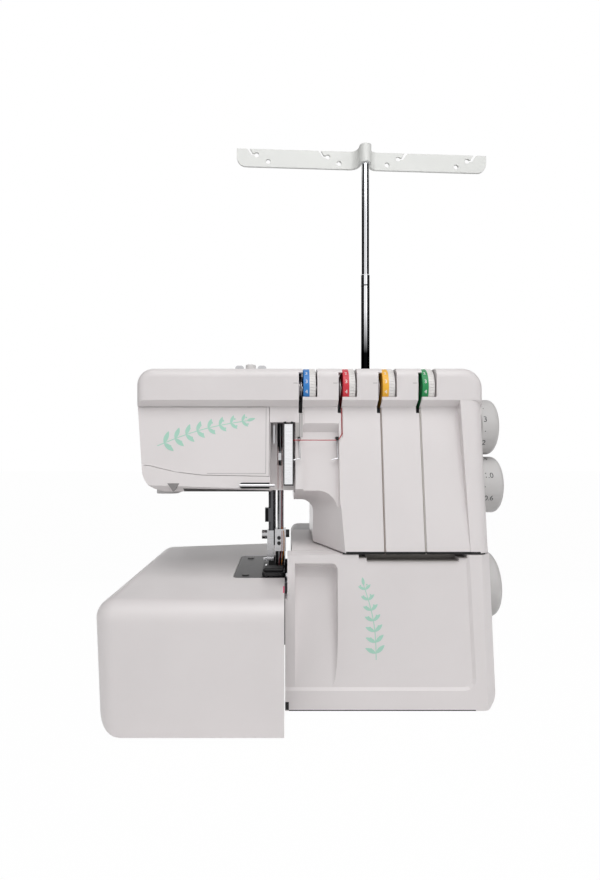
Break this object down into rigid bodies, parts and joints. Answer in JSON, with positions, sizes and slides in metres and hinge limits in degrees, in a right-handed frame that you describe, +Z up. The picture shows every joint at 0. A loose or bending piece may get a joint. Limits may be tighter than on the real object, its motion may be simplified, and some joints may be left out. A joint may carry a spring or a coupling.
{
  "type": "overlock sewing machine",
  "caption": "Overlock sewing machine with hinged looper cover, slide-off extension table, tension dials, differential feed and a telescopic thread stand.",
  "frame": {"origin": "centre of the footprint box on the surface the feet stand on", "axes": "+X to the machine's right seen from the operator, +Y away from the operator, +Z up the pole"},
  "size_m": [0.3695, 0.29, 0.5456],
  "materials": {
    "shell": "satin warm white moulding",
    "stand": "fine matte grey moulding",
    "rubber": "matte black",
    "painted_base": "grey paint",
    "cast": "grey cast with machined faces",
    "plate_steel": "brushed",
    "steel": "turned and ground",
    "chrome": "bright chrome",
    "dark_metal": "black oxide",
    "lifter": "light grey paint",
    "lens": "frosted lens",
    "wheel_plastic": "light grey, fine texture",
    "pulley_plastic": "black nylon",
    "dial_blue": "white dial with a blue band",
    "dial_red": "white dial with a red band",
    "dial_yellow": "white dial with a yellow band",
    "dial_green": "white dial with a green band",
    "pole": "drawn tube",
    "guide_plastic": "white moulding",
    "pin_plastic": "light grey moulding",
    "foam": "soft foam pad",
    "black_plastic": "black moulding",
    "thread": "twisted sewing thread"
  },
  "bodies": {
    "frame": {"base_plate": "painted_base", "rubber_feet": "rubber", "base_shell": "shell", "hinge_brackets": "plate_steel", "cover_hinge_rod": "steel", "needle_plate": "plate_steel", "needle_plate_screws": "steel", "free_arm": "cast", "front_housing": "shell", "rear_housing": "shell", "face_cover": "shell", "lamp": "lens", "casing_screws": "steel", "machine_frame": "cast", "motor": "dark_metal", "drive_belt": "rubber", "take_up_cover": "chrome", "lower_knife": "steel", "tension_rod": "steel", "tension_bracket": "plate_steel", "tension_discs": "plate_steel", "antenna_lower_tube": "pole", "spool_stand": "stand", "spool_pins": "pin_plastic", "spool_cushions": "foam", "power_inlet": "black_plastic", "thread_guides": "steel", "threads": "thread"},
    "looper_cover": {"looper_cover": "shell"},
    "extension_table": {"extension_table": "shell", "table_feet": "rubber"},
    "main_shaft": {"main_shaft": "steel", "handwheel": "wheel_plastic", "main_pulley": "pulley_plastic"},
    "motor_pulley": {"motor_pulley": "steel"},
    "needle_bar": {"needle_bar": "steel", "needle_clamp": "steel", "clamp_screws": "steel", "needles": "steel", "take_up_lever": "steel"},
    "needle_rocker": {"needle_rocker": "steel"},
    "presser_bar": {"presser_bar": "steel", "foot_holder": "dark_metal", "presser_foot": "dark_metal"},
    "lifter_lever": {"lifter_lever": "lifter"},
    "pressure_knob": {"pressure_knob": "wheel_plastic"},
    "upper_looper": {"upper_looper": "steel"},
    "lower_looper": {"lower_looper": "steel"},
    "upper_knife": {"upper_knife": "steel"},
    "feed_dog_main": {"feed_dog_main": "steel"},
    "feed_dog_diff": {"feed_dog_diff": "steel"},
    "tension_dial_1": {"tension_dial_1": "dial_blue"},
    "tension_dial_2": {"tension_dial_2": "dial_red"},
    "tension_dial_3": {"tension_dial_3": "dial_yellow"},
    "tension_dial_4": {"tension_dial_4": "dial_green"},
    "stitch_dial": {"stitch_dial": "wheel_plastic"},
    "diff_dial": {"diff_dial": "wheel_plastic"},
    "antenna_upper_tube": {"antenna_upper_tube": "pole"},
    "thread_guide_plate": {"thread_guide_plate": "guide_plastic"},
    "power_switch": {"power_switch": "black_plastic"}
  },
  "joints": [
    {"name": "table_slide", "type": "slide", "parent": "frame", "child": "extension_table", "axis": [-1, 0, 0], "range_m": [0, 0.15]},
    {"name": "looper_cover_hinge", "type": "hinge", "parent": "frame", "child": "looper_cover", "pos_m": [0.0395, -0.099, 0.012], "axis": [1, 0, 0], "range_deg": [0, 78]},
    {"name": "main_shaft_spin", "type": "hinge", "parent": "frame", "child": "main_shaft", "pos_m": [0.0595, -0.06, 0.094], "axis": [1, 0, 0], "continuous": true},
    {"name": "motor_spin", "type": "hinge", "parent": "frame", "child": "motor_pulley", "pos_m": [0.0995, -0.015, 0.038], "axis": [1, 0, 0], "continuous": true},
    {"name": "needle_bar_slide", "type": "slide", "parent": "frame", "child": "needle_bar", "axis": [0, 0, 1], "range_m": [0, 0.025]},
    {"name": "needle_rocker_swing", "type": "hinge", "parent": "frame", "child": "needle_rocker", "pos_m": [0.0195, -0.019, 0.221], "axis": [-1, 0, 0], "range_deg": [0, 52]},
    {"name": "lifter_swing", "type": "hinge", "parent": "frame", "child": "lifter_lever", "pos_m": [-0.1005, -0.021, 0.19], "axis": [1, 0, 0], "range_deg": [0, 26]},
    {"name": "presser_bar_slide", "type": "slide", "parent": "frame", "child": "presser_bar", "axis": [0, 0, 1], "range_m": [0, 0.0055]},
    {"name": "pressure_knob_turn", "type": "hinge", "parent": "frame", "child": "pressure_knob", "pos_m": [-0.0735, -0.053, 0.285], "axis": [0, 0, 1], "range_deg": [-180, 180]},
    {"name": "lower_looper_swing", "type": "hinge", "parent": "frame", "child": "lower_looper", "pos_m": [-0.0105, -0.035, 0.04], "axis": [0, 1, 0], "range_deg": [-14, 3]},
    {"name": "upper_looper_swing", "type": "hinge", "parent": "frame", "child": "upper_looper", "pos_m": [-0.0145, -0.035, 0.07], "axis": [0, 1, 0], "range_deg": [-3, 12]},
    {"name": "upper_knife_swing", "type": "hinge", "parent": "frame", "child": "upper_knife", "pos_m": [-0.0025, -0.035, 0.099], "axis": [0, 1, 0], "range_deg": [-2, 9]},
    {"name": "feed_main_slide", "type": "slide", "parent": "frame", "child": "feed_dog_main", "axis": [0, 1, 0], "range_m": [-0.0018, 0.0018]},
    {"name": "feed_diff_slide", "type": "slide", "parent": "frame", "child": "feed_dog_diff", "axis": [0, 1, 0], "range_m": [-0.0018, 0.0018]},
    {"name": "tension_dial_1_turn", "type": "hinge", "parent": "frame", "child": "tension_dial_1", "pos_m": [-0.0219, -0.077, 0.266], "axis": [1, 0, 0], "range_deg": [-100, 160]},
    {"name": "tension_dial_2_turn", "type": "hinge", "parent": "frame", "child": "tension_dial_2", "pos_m": [0.0111, -0.077, 0.266], "axis": [1, 0, 0], "range_deg": [-100, 160]},
    {"name": "tension_dial_3_turn", "type": "hinge", "parent": "frame", "child": "tension_dial_3", "pos_m": [0.0441, -0.077, 0.266], "axis": [1, 0, 0], "range_deg": [-100, 160]},
    {"name": "tension_dial_4_turn", "type": "hinge", "parent": "frame", "child": "tension_dial_4", "pos_m": [0.0771, -0.077, 0.266], "axis": [1, 0, 0], "range_deg": [-100, 160]},
    {"name": "stitch_dial_turn", "type": "hinge", "parent": "frame", "child": "stitch_dial", "pos_m": [0.1295, -0.061, 0.2336], "axis": [1, 0, 0], "range_deg": [-135, 135]},
    {"name": "diff_dial_turn", "type": "hinge", "parent": "frame", "child": "diff_dial", "pos_m": [0.1315, -0.061, 0.1825], "axis": [1, 0, 0], "range_deg": [-135, 135]},
    {"name": "antenna_slide", "type": "slide", "parent": "frame", "child": "antenna_upper_tube", "axis": [0, 0, 1], "range_m": [-0.12, 0]},
    {"name": "guide_swivel", "type": "hinge", "parent": "antenna_upper_tube", "child": "thread_guide_plate", "pos_m": [0.0452, 0.04, 0.536], "axis": [0, 0, 1], "range_deg": [-93, 87]},
    {"name": "switch_rock", "type": "hinge", "parent": "frame", "child": "power_switch", "pos_m": [0.1173, -0.042, 0.04], "axis": [0, 1, 0], "range_deg": [-10, 10]}
  ],
  "couplings": [
    {"joint": "motor_spin", "follows": "main_shaft_spin", "ratio": 2.828},
    {"joint": "needle_rocker_swing", "follows": "needle_bar_slide", "rad_per_m": 35},
    {"joint": "presser_bar_slide", "follows": "lifter_swing", "m_per_rad": 0.01207},
    {"joint": "upper_looper_swing", "follows": "lower_looper_swing", "ratio": -0.8},
    {"joint": "upper_knife_swing", "follows": "lower_looper_swing", "ratio": -0.6},
    {"joint": "feed_diff_slide", "follows": "feed_main_slide", "ratio": 1}
  ]
}
